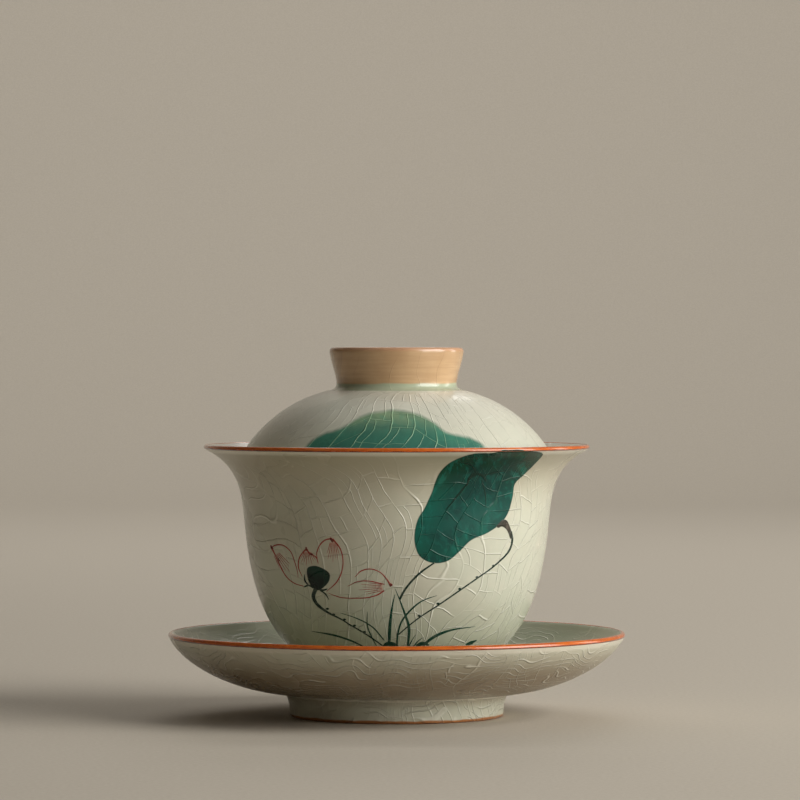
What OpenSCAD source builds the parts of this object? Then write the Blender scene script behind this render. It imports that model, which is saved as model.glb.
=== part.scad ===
// Covered tea bowl (gaiwan) in three loose pieces: a footed saucer, a bowl with a
// flared mouth, and a domed lid with a ring-shaped knob. Each piece is a thrown wall
// with a ring joined to it, and each rim wears a thin coat of iron-coloured glaze.
// Origin: centre of the saucer's foot, on the table. +Z is up, and the axis of turning.

/* [Saucer] */
// Diameter over the glazed rim
saucer_d = 116; // [110:0.5:124]
// Height of the rim above the table
saucer_h = 21.4; // [20:0.1:24]
// Lean of the wall at the rim, up from level
saucer_lean = 66; // [58:1:74]
// Thickness of the wall at the rim
saucer_lip_t = 1.5; // [1.2:0.1:1.8]
// Thickness of the floor in the well
saucer_floor_t = 3.0; // [2.4:0.1:3.6]
// Diameter of the well that the bowl stands in
well_d = 45.6; // [44.6:0.2:48]
// Depth of the well below the floor around it
well_depth = 0.9; // [0.5:0.1:1.4]
// Diameter of the foot ring near the table
saucer_foot_d = 54.2; // [52:0.2:56]
// Height of the foot ring
saucer_foot_h = 6.2; // [5:0.1:7.4]
// Thickness of the foot ring at its toe
saucer_foot_t = 3.4; // [2.6:0.1:4]

/* [Bowl] */
// Diameter over the glazed rim
mouth_d = 98; // [95:0.5:101]
// Height from the foot to the rim
bowl_h = 59.6; // [57:0.1:63]
// Diameter at the waist, under the flare
waist_d = 77.6; // [74:0.2:79]
// Height of the waist above the bowl's foot
waist_h = 41.4; // [39.5:0.1:43]
// Lean of the wall at the waist, up from level
waist_lean = 85; // [82:1:88]
// Lean of the flare at the rim, up from level
mouth_lean = 27; // [20:1:34]
// Thickness of the wall just above the foot
bowl_root_t = 2.9; // [2.4:0.1:3.3]
// Thickness of the wall at the rim
bowl_lip_t = 1.1; // [0.9:0.1:1.4]
// Diameter of the foot ring where it meets the bowl
bowl_foot_d = 43; // [40:0.2:43.8]
// Height of the foot ring
bowl_foot_h = 3.9; // [3:0.1:4.6]
// Thickness of the foot ring at its toe
bowl_foot_t = 2.8; // [2.2:0.1:3.4]

/* [Lid] */
// Diameter over the glazed rim
lid_d = 81.7; // [80:0.1:84]
// Radius of the dome's arc
dome_r = 34.55; // [33:0.05:36]
// Distance of the arc's centre from the axis
dome_offset = 9.55; // [9:0.05:10.5]
// Thickness of the dome under the knob
lid_root_t = 2.8; // [2.4:0.1:3.2]
// Thickness of the dome at its rim
lid_lip_t = 1.6; // [1.3:0.1:2]

/* [Knob] */
// Diameter of the knob ring where it spreads onto the dome
knob_base_d = 34; // [33.4:0.2:35]
// Diameter of the knob ring at its neck
knob_neck_d = 30.6; // [29.6:0.1:31.6]
// Diameter of the knob ring at its lip
knob_lip_d = 34.1; // [33:0.1:36]
// Height of the knob ring
knob_h = 10.9; // [9.5:0.1:12.5]
// Thickness of the knob ring at its neck
knob_root_t = 2.5; // [2.1:0.1:3]
// Thickness of the knob ring at its lip
knob_lip_t = 1.9; // [1.5:0.1:2.4]

/* [Rim glaze] */
// Thickness of the coat of iron glaze on each rim
coat_t = 0.15; // [0.1:0.05:0.3]
// Where the coat starts under the saucer's and the bowl's lip, up from straight down
coat_from = 52; // [40:1:70]
// Where it ends, just over the top of the lip
coat_to = 188; // [175:1:200]

/* [Fit] */
// Air between the bowl's foot and the saucer, and between the lid and the bowl
gap = 0.15; // [0.1:0.05:0.3]

/* [Hidden] */
$fn = 96;
lip_steps = 8;
// A coat stays at least this angle away from the ends of a lip's round
lip_edge = 5;
// Angles between which the lid's coat wraps its edge, from its outer face
lid_coat = [12, 168];
// How far a foot ring's outer face swells, and where it does, as shares of its height
foot_swell = 0.25;
foot_swell_from = 0.42;
foot_swell_to = 0.92;
// Angle between neighbouring points on a small round
round_step = 22.5;
celadon = "#b9b79d";
tan_glaze = "#b98f63";
iron_glaze = "#b8652c";

// ---- Curves: cubic arcs through four [radius, height] handles ----

function arc_point(c, t) =
    pow(1 - t, 3) * c[0] + 3 * t * pow(1 - t, 2) * c[1] + 3 * t * t * (1 - t) * c[2] + pow(t, 3) * c[3];
function arc_travel(c, t) =
    pow(1 - t, 2) * (c[1] - c[0]) + 2 * t * (1 - t) * (c[2] - c[1]) + t * t * (c[3] - c[2]);
function heading(a) = [cos(a), sin(a)];
function left_of(v) = [-v[1], v[0]];
function steps(s0, s1, n) = [for (i = [0 : n]) s0 + (s1 - s0) * i / n];
function backward(list) = [for (i = [len(list) - 1 : -1 : 0]) list[i]];

// Handles of a round arc about a centre, from one angle to another
function round_arc(centre, r, a0, a1) =
    let (k = 4 / 3 * tan((a1 - a0) / 4) * r,
         p0 = centre + r * heading(a0), p3 = centre + r * heading(a1))
    [p0, p0 + k * left_of(heading(a0)), p3 - k * left_of(heading(a1)), p3];

// ---- Thrown walls ----
// A wall is [arcs up its outer face, thickness at its root, thickness at its lip,
// side of its inner face (1 left, -1 right), power of its taper, angles round its lip
// between which it is coated]. A station runs from 0 at the root to the number of arcs
// at the lip. An angle round the lip runs from 0 at the outer face to 180 at the inner.

function arc_no(w, s) = min(floor(s), len(w[0]) - 1);
function face(w, s) = arc_point(w[0][arc_no(w, s)], s - arc_no(w, s));
function course(w, s) = let (v = arc_travel(w[0][arc_no(w, s)], s - arc_no(w, s))) v / norm(v);
function inward(w, s) = w[3] * left_of(course(w, s));
function thickness(w, s) = w[1] + (w[2] - w[1]) * pow(s / len(w[0]), w[4]);
function inner_face(w, s) = face(w, s) + thickness(w, s) * inward(w, s);

// Half-round lip, from the outer face over to the inner one
function lip_centre(w) = face(w, len(w[0])) + w[2] / 2 * inward(w, len(w[0]));
function lip_point(w, a, rise) =
    let (s = len(w[0]), out = sin(a) * course(w, s) - cos(a) * inward(w, s))
    lip_centre(w) + (w[2] / 2 + rise) * out;
function coated_angles(w) = steps(w[5][0], w[5][1], lip_steps);
function lip_path(w) = [for (a = concat([0], coated_angles(w), [180])) lip_point(w, a, 0)];

// Whole wall from its root up the outer face, over the lip and down the inner face
function wall_path(w, roots) =
    let (below = [for (u = roots) if (u < len(w[0])) u])
    concat([for (u = below) face(w, u)], lip_path(w), [for (u = backward(below)) inner_face(w, u)]);

// Coat on a lip. It thins to a third at its edges
function coat_path(w) =
    let (angles = coated_angles(w), last = len(angles) - 1)
    concat([for (i = [0 : last]) lip_point(w, angles[i], i == 0 || i == last ? coat_t / 3 : coat_t)],
           [for (a = backward(angles)) lip_point(w, a, 0)]);

// Angles round a lip of this lean between which the coat lies, all within the round
function coat_span(lean) = [max(coat_from - lean, lip_edge), min(coat_to - lean, 180 - lip_edge)];

// Outer end of a wall whose coated rim has this radius and this height
function rim_end(r, top, lip_t, lean) =
    [r - coat_t - lip_t / 2 * (1 - sin(lean)), top - coat_t - lip_t / 2 * (1 + cos(lean))];

// Foot ring with a rounded toe that spreads into the piece it carries
function foot_path(r_toe, r_top, r_back, r_in, h, toe) =
    let (outer = [[r_toe, toe], [r_toe + foot_swell, h * foot_swell_from],
                  [r_toe + foot_swell, h * foot_swell_to], [r_top, h]],
         inner = [[r_back, h], [r_in, h * foot_swell_to],
                  [r_in - foot_swell / 2, h * foot_swell_from], [r_in, toe]])
    concat([for (a = [-90 : round_step : -1]) [r_toe - toe, toe] + toe * heading(a)],
           [for (t = steps(0, 1, 8)) arc_point(outer, t)],
           [for (t = steps(0, 1, 8)) arc_point(inner, t)],
           [for (a = [180 + round_step : round_step : 270]) [r_in + toe, toe] + toe * heading(a)]);

// ---- Saucer ----

// Outer and inner fillets where the foot ring meets the dish, and the round of its toe
dish_foot_out = 2.1;
dish_foot_in = 1.4;
dish_toe = 0.7;
// How strongly the dish's curve keeps level above the foot, and keeps its lean at the rim
dish_level = 11;
dish_upturn = 8;
// How late the dish's wall thins on its way out
dish_taper = 1.6;

dish_start = [saucer_foot_d / 2 + dish_foot_out, saucer_foot_h];
dish_end = rim_end(saucer_d / 2, saucer_h, saucer_lip_t, saucer_lean);
dish_arc = [dish_start, dish_start + [dish_level, 0],
            dish_end - dish_upturn * heading(saucer_lean), dish_end];
dish_wall = [[dish_arc], saucer_floor_t + well_depth, saucer_lip_t, 1, dish_taper,
             coat_span(saucer_lean)];
well_z = saucer_foot_h + saucer_floor_t;
well_round = well_depth / 2;

module saucer_dish() {
    shoulder = [for (a = [90 : 30 : 180])
        [well_d / 2 + well_round, well_z + well_depth - well_round] + well_round * heading(a)];
    color(celadon) rotate_extrude() polygon(concat(
        [[0, saucer_foot_h]],
        wall_path(dish_wall, steps(0, 1, 20)),
        shoulder, [[well_d / 2, well_z], [0, well_z]]));
}

module saucer_foot_ring() {
    r = saucer_foot_d / 2;
    r_in = r - saucer_foot_t;
    color(celadon) rotate_extrude()
        polygon(foot_path(r, dish_start[0], r_in - dish_foot_in, r_in, saucer_foot_h, dish_toe));
}

module saucer_rim_band() rim_band(dish_wall);

// Thin coat of iron glaze on a wall's lip
module rim_band(w) {
    color(iron_glaze) rotate_extrude() polygon(coat_path(w));
}

// ---- Bowl ----

// Lean of the belly at its root, and how strongly each end of each curve keeps its lean
belly_lean = 30.4;
belly_root = 13.7;
belly_top = 18.3;
flare_root = 8;
flare_top = 8.5;
// How late the bowl's wall thins on its way up, and how far its floor sinks in the middle
bowl_taper = 0.8;
floor_dip = 0.4;
// Outer and inner fillets where the foot ring meets the belly, and the round of its toe
belly_foot_out = 0.7;
belly_foot_in = 0.9;
belly_toe = 0.6;
// Station where the outer face leaves the foot, station where the inner one turns into
// the floor, distance that it keeps its course, and radius where the floor is level
leave_foot = 0.06;
turn_station = 0.12;
turn_reach = 6;
level_r = 12;

bowl_z = well_z + gap;
bowl_base_z = bowl_z + bowl_foot_h;
bowl_start = [bowl_foot_d / 2, bowl_base_z];
waist = [waist_d / 2, bowl_z + waist_h];
bowl_end = rim_end(mouth_d / 2, bowl_z + bowl_h, bowl_lip_t, mouth_lean);
belly_arc = [bowl_start, bowl_start + belly_root * heading(belly_lean),
             waist - belly_top * heading(waist_lean), waist];
flare_arc = [waist, waist + flare_root * heading(waist_lean),
             bowl_end - flare_top * heading(mouth_lean), bowl_end];
bowl_thrown = [[belly_arc, flare_arc], bowl_root_t, bowl_lip_t, 1, bowl_taper,
               coat_span(mouth_lean)];
bowl_floor_z = bowl_base_z + bowl_root_t - floor_dip;

module bowl_wall() {
    roots = concat(steps(turn_station, 1, 16), steps(1 + 1 / 10, 2, 9));
    turn_in = inner_face(bowl_thrown, turn_station);
    floor_arc = [turn_in, turn_in - turn_reach * course(bowl_thrown, turn_station),
                 [level_r, bowl_floor_z], [0, bowl_floor_z]];
    color(celadon) rotate_extrude() polygon(concat(
        [[0, bowl_base_z], face(bowl_thrown, 0), face(bowl_thrown, leave_foot)],
        wall_path(bowl_thrown, roots),
        [for (t = steps(1 / 8, 1, 7)) arc_point(floor_arc, t)]));
}

module bowl_foot_ring() {
    r = bowl_foot_d / 2 - belly_foot_out;
    r_in = r - bowl_foot_t;
    color(celadon) translate([0, 0, bowl_z]) rotate_extrude()
        polygon(foot_path(r, bowl_foot_d / 2, r_in - belly_foot_in, r_in, bowl_foot_h, belly_toe));
}

module bowl_rim_band() rim_band(bowl_thrown);

// ---- Lid: its rim rests in the bowl's flare ----

lip_reach = lid_lip_t / 2 + coat_t;
lid_angle = acos((lid_d / 2 - lip_reach - dome_offset) / (dome_r - lid_lip_t / 2));
// Centre of a lip that rests on the flare at station s, and the station that gives radius r
function rest_at(s) =
    inner_face(bowl_thrown, s) + (lip_reach + gap) * inward(bowl_thrown, s);
function rest_station(r, lo, hi, n) =
    let (mid = (lo + hi) / 2) n == 0 ? mid
    : rest_at(mid)[0] < r ? rest_station(r, mid, hi, n - 1) : rest_station(r, lo, mid, n - 1);
rest = rest_at(rest_station(lid_d / 2 - lip_reach, 1, 2, 24));
dome_centre = [dome_offset, rest[1] - (dome_r - lid_lip_t / 2) * sin(lid_angle)];
crown_angle = acos((knob_base_d / 2 - dome_offset) / dome_r);
dome_wall = [[round_arc(dome_centre, dome_r, crown_angle, lid_angle)],
             lid_root_t, lid_lip_t, -1, 1, lid_coat];
knob_z = face(dome_wall, 0)[1];

// Distance that the underside keeps its course under the knob, and its height on the axis
crown_reach = 5;
crown_z = dome_centre[1] + dome_r - lid_root_t;

module lid_dome() {
    turn_in = inner_face(dome_wall, 0);
    under_crown = [turn_in, turn_in - crown_reach * course(dome_wall, 0),
                   [crown_reach, crown_z], [0, crown_z]];
    color(celadon) rotate_extrude() polygon(concat(
        [[0, knob_z]],
        wall_path(dome_wall, steps(0, 1, 20)),
        [for (t = steps(0.2, 1, 4)) arc_point(under_crown, t)]));
}

module lid_rim_band() rim_band(dome_wall);

// ---- Knob: a ring like an upturned foot, open at the top ----

// Height of the neck above the dome, and lean of the wall at the lip
neck_h = 1.6;
knob_lean = 84;
// Handles of the curves: how the base spreads, and how each end of the flare keeps its lean
spread = [0.75, 0.3];
spread_rise = 0.9;
flare_low = 2.2;
flare_high = 3;
// Width and height of the round between the cup's wall and its floor
cup_round = [2.2, 0.9];
// Stations above the neck where the points of the outer and the inner face go on
past_neck = 1.1;
cup_station = 1.2;

knob_neck = [knob_neck_d / 2, knob_z + neck_h];
knob_end = rim_end(knob_lip_d / 2 + coat_t, knob_z + knob_h + coat_t, knob_lip_t, knob_lean);
knob_spread = [[knob_base_d / 2, knob_z], [knob_neck[0] + spread[0], knob_z + spread[1]],
               knob_neck - [0, spread_rise], knob_neck];
knob_flare = [knob_neck, knob_neck + [0, flare_low],
              knob_end - flare_high * heading(knob_lean), knob_end];
knob_wall = [[knob_spread, knob_flare], knob_root_t, knob_lip_t, 1, 1,
             [round_step, 180 - round_step]];

module lid_knob() {
    top = len(knob_wall[0]);
    cup_r = knob_neck_d / 2 - knob_root_t;
    cup_arc = [inner_face(knob_wall, past_neck), [cup_r, knob_z + cup_round[1]],
               [cup_r - cup_round[0] / 3, knob_z], [cup_r - cup_round[0], knob_z]];
    color(tan_glaze) rotate_extrude() polygon(concat(
        [for (s = steps(0, 1, 6)) face(knob_wall, s)],
        [for (s = steps(past_neck, top, 9)) if (s < top) face(knob_wall, s)],
        lip_path(knob_wall),
        [for (s = steps(top, cup_station, 8)) if (s < top) inner_face(knob_wall, s)],
        [for (t = steps(0, 1, 5)) arc_point(cup_arc, t)]));
}

saucer_dish();
saucer_foot_ring();
saucer_rim_band();
bowl_wall();
bowl_foot_ring();
bowl_rim_band();
lid_dome();
lid_knob();
lid_rim_band();
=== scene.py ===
import math

import bmesh
import bpy
import numpy as np
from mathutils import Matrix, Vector
from mathutils.geometry import delaunay_2d_cdt


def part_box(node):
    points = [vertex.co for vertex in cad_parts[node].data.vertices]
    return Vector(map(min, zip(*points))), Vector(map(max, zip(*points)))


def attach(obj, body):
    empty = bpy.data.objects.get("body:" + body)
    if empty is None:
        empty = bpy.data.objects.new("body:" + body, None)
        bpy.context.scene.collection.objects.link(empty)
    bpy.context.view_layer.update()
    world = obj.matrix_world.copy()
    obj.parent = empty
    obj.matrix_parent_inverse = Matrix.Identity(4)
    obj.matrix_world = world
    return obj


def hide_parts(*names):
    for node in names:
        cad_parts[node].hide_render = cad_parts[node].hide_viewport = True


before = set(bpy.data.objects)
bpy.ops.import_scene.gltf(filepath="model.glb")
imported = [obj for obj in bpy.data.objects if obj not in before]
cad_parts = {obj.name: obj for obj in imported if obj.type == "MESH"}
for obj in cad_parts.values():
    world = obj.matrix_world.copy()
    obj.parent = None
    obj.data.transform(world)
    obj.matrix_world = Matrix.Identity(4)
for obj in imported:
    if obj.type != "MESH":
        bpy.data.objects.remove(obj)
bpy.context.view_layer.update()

# Lengths in this script are millimetres until a mesh, a lamp or the camera is made.
MM = 0.001

# ---- Turned shapes, read from the CAD nodes ----

AROUND = 256  # facets round a turned piece
STEP = 0.7  # longest stretch of outline between two rings
SAME_POINT = 0.004  # outline points closer than this are one
STRAIGHT = 0.3  # degrees: a point that turns less is dropped
CORNER = 38.0  # degrees: a point that turns more stays a corner
TINY = 1e-6  # keeps a division away from zero


def cut_edges(node):
    """The edges of a CAD node's section on the +X side, as pairs of (radius, height)."""
    mesh = bmesh.new()
    mesh.from_mesh(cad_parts[node].data)
    bmesh.ops.remove_doubles(mesh, verts=mesh.verts[:], dist=SAME_POINT * MM)
    everything = mesh.verts[:] + mesh.edges[:] + mesh.faces[:]
    cut = bmesh.ops.bisect_plane(mesh, geom=everything, plane_co=(0, 0, 0), plane_no=(0, 1, 0))
    edges = [e for e in cut["geom_cut"] if isinstance(e, bmesh.types.BMEdge)]
    kept = []
    for edge in edges:
        if all(v.co.x > 0 for v in edge.verts):
            kept.append([(round(v.co.x / MM, 4), round(v.co.z / MM, 4)) for v in edge.verts])
    mesh.free()
    return kept


def walk(edges):
    """The edges' points in order round the section, and whether they close on themselves."""
    beside = {}
    for a, b in edges:
        if a != b:
            beside.setdefault(a, set()).add(b)
            beside.setdefault(b, set()).add(a)
    ends = sorted(p for p in beside if len(beside[p]) == 1)
    path = [ends[0] if ends else min(beside)]
    seen = {path[0]}
    while True:
        ahead = sorted(p for p in beside[path[-1]] if p not in seen)
        if not ahead:
            return path, not ends
        path.append(ahead[0])
        seen.add(ahead[0])


def turn_at(a, b, c):
    """Degrees that a path turns at b."""
    before, after = np.subtract(b, a), np.subtract(c, b)
    cross = before[0] * after[1] - before[1] * after[0]
    return abs(math.degrees(math.atan2(cross, float(before @ after))))


def thinned(path, closed):
    """The path without the points that it doesn't need."""
    kept = [p for i, p in enumerate(path) if i == 0 or math.dist(p, path[i - 1]) > SAME_POINT]
    count = len(kept)
    inner = range(count) if closed else range(1, count - 1)
    needed = {i for i in inner if turn_at(kept[i - 1], kept[i], kept[(i + 1) % count]) > STRAIGHT}
    return [p for i, p in enumerate(kept) if i in needed or (not closed and i in (0, count - 1))]


def curve_through(points, step):
    """A smooth curve through the points, with its end points kept."""
    points = np.asarray(points, float)
    if len(points) == 2:
        return points
    ends = [2 * points[0] - points[1], *points, 2 * points[-1] - points[-2]]
    out = [points[0]]
    for p0, p1, p2, p3 in zip(ends, ends[1:], ends[2:], ends[3:]):
        pace = [math.sqrt(max(math.dist(a, b), TINY)) for a, b in ((p0, p1), (p1, p2), (p2, p3))]
        m1 = (p2 - p1) + pace[1] * ((p1 - p0) / pace[0] - (p2 - p0) / (pace[0] + pace[1]))
        m2 = (p2 - p1) + pace[1] * ((p3 - p2) / pace[2] - (p3 - p1) / (pace[1] + pace[2]))
        count = max(2, math.ceil(math.dist(p1, p2) / step))
        for t in np.arange(1, count + 1) / count:
            out.append((2 * t**3 - 3 * t**2 + 1) * p1 + (t**3 - 2 * t**2 + t) * m1
                       + (3 * t**2 - 2 * t**3) * p2 + (t**3 - t**2) * m2)
    return np.array(out)


def outline_of(node, outside_low):
    """A CAD node's smooth outline, kept inside the node's box. An open one starts on the
    axis, on the wall's outer side."""
    path, closed = walk(cut_edges(node))
    path = thinned(path, closed)
    if not closed:
        path = [(0.0, path[0][1]), *path, (0.0, path[-1][1])]
        path = thinned(path, False)
        if (path[0][1] < path[-1][1]) != outside_low:
            path.reverse()
    count = len(path)
    turns = [turn_at(path[i - 1], path[i], path[(i + 1) % count]) for i in range(count)]
    corners = [i for i in range(count) if turns[i] > CORNER or (not closed and i in (0, count - 1))]
    if closed:
        first = corners[0] if corners else 0
        path = path[first:] + path[:first + 1]
        corners = [i - first if i >= first else i - first + count for i in corners] or [0]
        corners = sorted(set(corners) | {0, count})
    runs = [curve_through(path[a:b + 1], STEP) for a, b in zip(corners, corners[1:])]
    smooth = np.vstack([runs[0][:1]] + [run[1:] for run in runs])
    low, high = (np.array(corner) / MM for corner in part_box(node))
    reach = min(-low[0], high[0], -low[1], high[1])
    smooth = np.stack([np.minimum(smooth[:, 0], reach), np.clip(smooth[:, 1], low[2], high[2])], -1)
    return (smooth[:-1] if closed else smooth), closed


def new_object(name, points, faces):
    """A smooth-shaded mesh object from points in millimetres."""
    mesh = bpy.data.meshes.new(name)
    mesh.from_pydata((np.asarray(points) * MM).tolist(), [], faces)
    mesh.polygons.foreach_set("use_smooth", [True] * len(mesh.polygons))
    mesh.update()
    piece = bpy.data.objects.new(name, mesh)
    bpy.context.scene.collection.objects.link(piece)
    return piece


def turned(name, outline, closed):
    """The solid that an outline makes when it is turned about the axis."""
    on_axis = [i for i, (r, _) in enumerate(outline) if r < SAME_POINT]
    rings = [i for i in range(len(outline)) if i not in on_axis]
    angle = np.linspace(0, 2 * math.pi, AROUND, endpoint=False)
    r, z = outline[rings, 0][:, None], outline[rings, 1][:, None]
    points = np.stack([r * np.sin(angle), -r * np.cos(angle), z + 0 * angle], -1).reshape(-1, 3)
    after = [(j + 1) % AROUND for j in range(AROUND)]
    last = len(rings) if closed else len(rings) - 1
    faces = []
    for i in range(last):
        a, b = i * AROUND, ((i + 1) % len(rings)) * AROUND
        faces += [(a + j, b + j, b + after[j], a + after[j]) for j in range(AROUND)]
    poles = [(0.0, 0.0, float(outline[i, 1])) for i in on_axis]
    for pole, ring in zip(range(len(points), len(points) + len(poles)), (0, len(rings) - 1)):
        faces += [(ring * AROUND + j, ring * AROUND + after[j], pole) for j in range(AROUND)]
    piece = new_object(name, np.vstack([points, *[[p] for p in poles]]), faces)
    mesh = bmesh.new()
    mesh.from_mesh(piece.data)
    bmesh.ops.recalc_face_normals(mesh, faces=mesh.faces[:])
    mesh.to_mesh(piece.data)
    mesh.free()
    piece.data.set_sharp_from_angle(angle=math.radians(CORNER))
    return piece


# ---- Painting on a turned wall ----
# A drawing is in millimetres as seen from the front: x across, z up. A skin says how far
# out the wall is at each height, and a brush mark is laid on it, so it bends with the wall.

PAINT_LIFT = 0.035  # how far paint stands off its wall
AREA_EDGE = 0.25  # a painted area thins out over this much of its edge
FINE_STEP = 0.35  # longest stretch between two points of a brush stroke
ACROSS = np.array([-1, -0.7, 0, 0.7, 1])  # a stroke's points from side to side
STROKE_RISE = np.array([-0.6, 0.6, 1, 0.6, -0.6])  # and their heights: the sides dip in
END_INK = 0.35  # how much ink is left at a stroke's ends
SIDE_LOSS = 0.45  # how much is missing at its sides


def skin_of(path):
    """A wall's outer face as heights, radii and outward directions, for painting on."""
    path = np.asarray(path, float)
    along = np.gradient(path, axis=0)
    along /= np.linalg.norm(along, axis=1)[:, None]
    outward = np.stack([along[:, 1], -along[:, 0]], -1)
    outward *= np.where(outward[:, :1] < 0, -1.0, 1.0)
    order = np.argsort(path[:, 1])
    return {"z": path[order, 1], "r": path[order, 0], "out": outward[order]}


def laid_on(skin, x, z, lift):
    """Points of a drawing laid on a skin, each lifted off it."""
    r = np.interp(z, skin["z"], skin["r"])
    out_r = np.interp(z, skin["z"], skin["out"][:, 0])
    out_z = np.interp(z, skin["z"], skin["out"][:, 1])
    side = np.arcsin(np.clip(x / r, -1, 1))
    r, z = r + lift * out_r, z + lift * out_z
    return np.stack([r * np.sin(side), -r * np.cos(side), z], -1)


def depth_inside(points, outline):
    """How far each point lies inside a closed outline; outside is negative."""
    start, end = outline, np.roll(outline, -1, axis=0)
    way = end - start
    gap = points[:, None, :] - start[None]
    t = np.clip((gap * way).sum(-1) / (way * way).sum(-1), 0, 1)
    away = np.linalg.norm(gap - t[..., None] * way, axis=-1).min(1)
    above = (start[:, 1] > points[:, 1:2]) != (end[:, 1] > points[:, 1:2])
    rise = np.where(np.abs(way[:, 1]) < TINY, TINY, way[:, 1])
    cross = start[:, 0] + (points[:, 1:2] - start[:, 1]) * way[:, 0] / rise
    inside = (above & (points[:, :1] < cross)).sum(1) % 2 == 1
    return np.where(inside, away, -away)


def closed_curve(points, step=0.4):
    """A smooth closed outline through given points: one lap, cut out of a longer one."""
    points = [np.array(p, float) for p in points]
    dense = curve_through(points[-2:] + points + points[:2], step)
    first = int(np.argmin(np.linalg.norm(dense - points[0], axis=1)))
    ahead = first + 4
    last = ahead + int(np.argmin(np.linalg.norm(dense[ahead:] - points[0], axis=1)))
    return dense[first:last]


def spread(skin, low, high, spacing):
    """Heights from low to high whose steps along the wall are about the spacing."""
    fine = np.linspace(low, high, 800)
    r = np.interp(fine, skin["z"], skin["r"])
    length = np.concatenate([[0], np.cumsum(np.hypot(np.diff(r), np.diff(fine)))])
    count = max(4, round(length[-1] / spacing))
    return np.interp(np.linspace(0, length[-1], count + 1), length, fine)


def with_values(piece, name, values):
    """Keeps a value for each point of a piece."""
    kept = piece.data.attributes.new(name, "FLOAT", "POINT")
    kept.data.foreach_set("value", np.asarray(values, np.float32))
    return piece


def crisp_area(name, skin, outline, spacing=0.4, lift=PAINT_LIFT):
    """A painted area that ends exactly at its outline."""
    outline = closed_curve(outline, spacing)
    (x0, z0), (x1, z1) = outline.min(0), outline.max(0)
    xs = np.arange(x0, x1, spacing)
    grid = np.stack(np.meshgrid(xs, spread(skin, z0, z1, spacing)), -1).reshape(-1, 2)
    grid = grid[depth_inside(grid, outline) > spacing * 0.45]
    flat = np.vstack([outline, grid])
    ring = list(range(len(outline)))
    loop = [(i, (i + 1) % len(ring)) for i in ring]
    solved = delaunay_2d_cdt([Vector(p) for p in flat], loop, [ring], 1, TINY)
    flat = np.array([tuple(p) for p in solved[0]])
    faces = [list(face) for face in solved[2]]
    depth = np.maximum(depth_inside(flat, outline), 0)
    lifts = lift * np.clip(0.25 + depth / AREA_EDGE, 0, 1)
    piece = new_object(name, laid_on(skin, flat[:, 0], flat[:, 1], lifts), faces)
    return with_values(piece, "depth", depth)


def soft_area(name, skin, outline, lowest, spacing=0.35, margin=0.9, lift=0.03):
    """A washed area. Its mesh runs a margin past the outline, where the paint fades out, but
    not below the lowest height, and its edge dips into the glaze."""
    outline = closed_curve(outline)
    (x0, z0), (x1, z1) = outline.min(0) - margin, outline.max(0) + margin
    z0, z1 = max(z0, skin["z"][0], lowest), min(z1, skin["z"][-1])
    xs = np.linspace(x0, x1, math.ceil((x1 - x0) / spacing) + 1)
    zs = spread(skin, z0, z1, spacing)
    flat = np.stack(np.meshgrid(xs, zs), -1).reshape(-1, 2)
    depth = depth_inside(flat, outline)
    columns = len(xs)
    used, faces = {}, []
    near = depth > -margin
    for row in range(len(zs) - 1):
        for column in range(columns - 1):
            corner = row * columns + column
            quad = (corner, corner + 1, corner + columns + 1, corner + columns)
            if any(near[q] for q in quad):
                faces.append([used.setdefault(q, len(used)) for q in quad])
    kept = np.array(list(used))
    edge = np.clip((depth[kept] + margin) / margin, 0, 1)
    lifts = lift * (1.5 * edge - 0.5)
    piece = new_object(name, laid_on(skin, flat[kept, 0], flat[kept, 1], lifts), faces)
    return with_values(piece, "depth", depth[kept])


def stroke_parts(skin, points, widths, first, lift, fade):
    """Points, faces and ink of one brush stroke whose width changes evenly along it."""
    line = curve_through(points, FINE_STEP)
    if len(line) == 2:
        line = np.linspace(line[0], line[1], 8)
    length = np.concatenate([[0], np.cumsum(np.linalg.norm(np.diff(line, axis=0), axis=1))])
    share = length / length[-1]
    width = np.interp(share, np.linspace(0, 1, len(widths)), widths)
    along = np.gradient(line, axis=0)
    along /= np.linalg.norm(along, axis=1)[:, None]
    aside = np.stack([-along[:, 1], along[:, 0]], -1)
    flat = line[:, None] + aside[:, None] * (ACROSS[None, :, None] * width[:, None, None] / 2)
    lifts = np.broadcast_to(lift * STROKE_RISE, flat.shape[:2])
    spots = laid_on(skin, flat[..., 0].ravel(), flat[..., 1].ravel(), lifts.ravel())
    ends = np.minimum(share, 1 - share) * length[-1]
    ink = np.clip(END_INK + ends / max(fade, TINY), 0, 1)
    ink = ink * (1 - SIDE_LOSS * np.abs(ACROSS)[:, None])
    wide = len(ACROSS)
    corners = [first + i * wide + j for i in range(len(line) - 1) for j in range(wide - 1)]
    faces = [[c, c + 1, c + wide + 1, c + wide] for c in corners]
    return spots, faces, ink.T.ravel()


def strokes(name, skin, marks, lift=PAINT_LIFT, fade=0.8):
    """Brush strokes in one piece. Each mark is its points and its widths along the way."""
    spots, faces, inks, count = [], [], [], 0
    for points, widths in marks:
        new_spots, new_faces, ink = stroke_parts(skin, points, widths, count, lift, fade)
        spots.append(new_spots)
        faces += new_faces
        inks.append(ink)
        count += len(new_spots)
    return with_values(new_object(name, np.vstack(spots), faces), "ink", np.concatenate(inks))


# ---- Shader nodes ----
# A glaze is arithmetic on the outputs of nodes: numbers, colours and places in millimetres.


class Value:
    """A node's output, which takes +, - and * with other outputs and with numbers."""

    def __init__(self, socket):
        self.socket = socket

    def __add__(self, other):
        return maths("ADD", self, other)

    def __sub__(self, other):
        return maths("SUBTRACT", self, other)

    def __rsub__(self, other):
        return maths("SUBTRACT", other, self)

    def __mul__(self, other):
        return maths("MULTIPLY", self, other)


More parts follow.
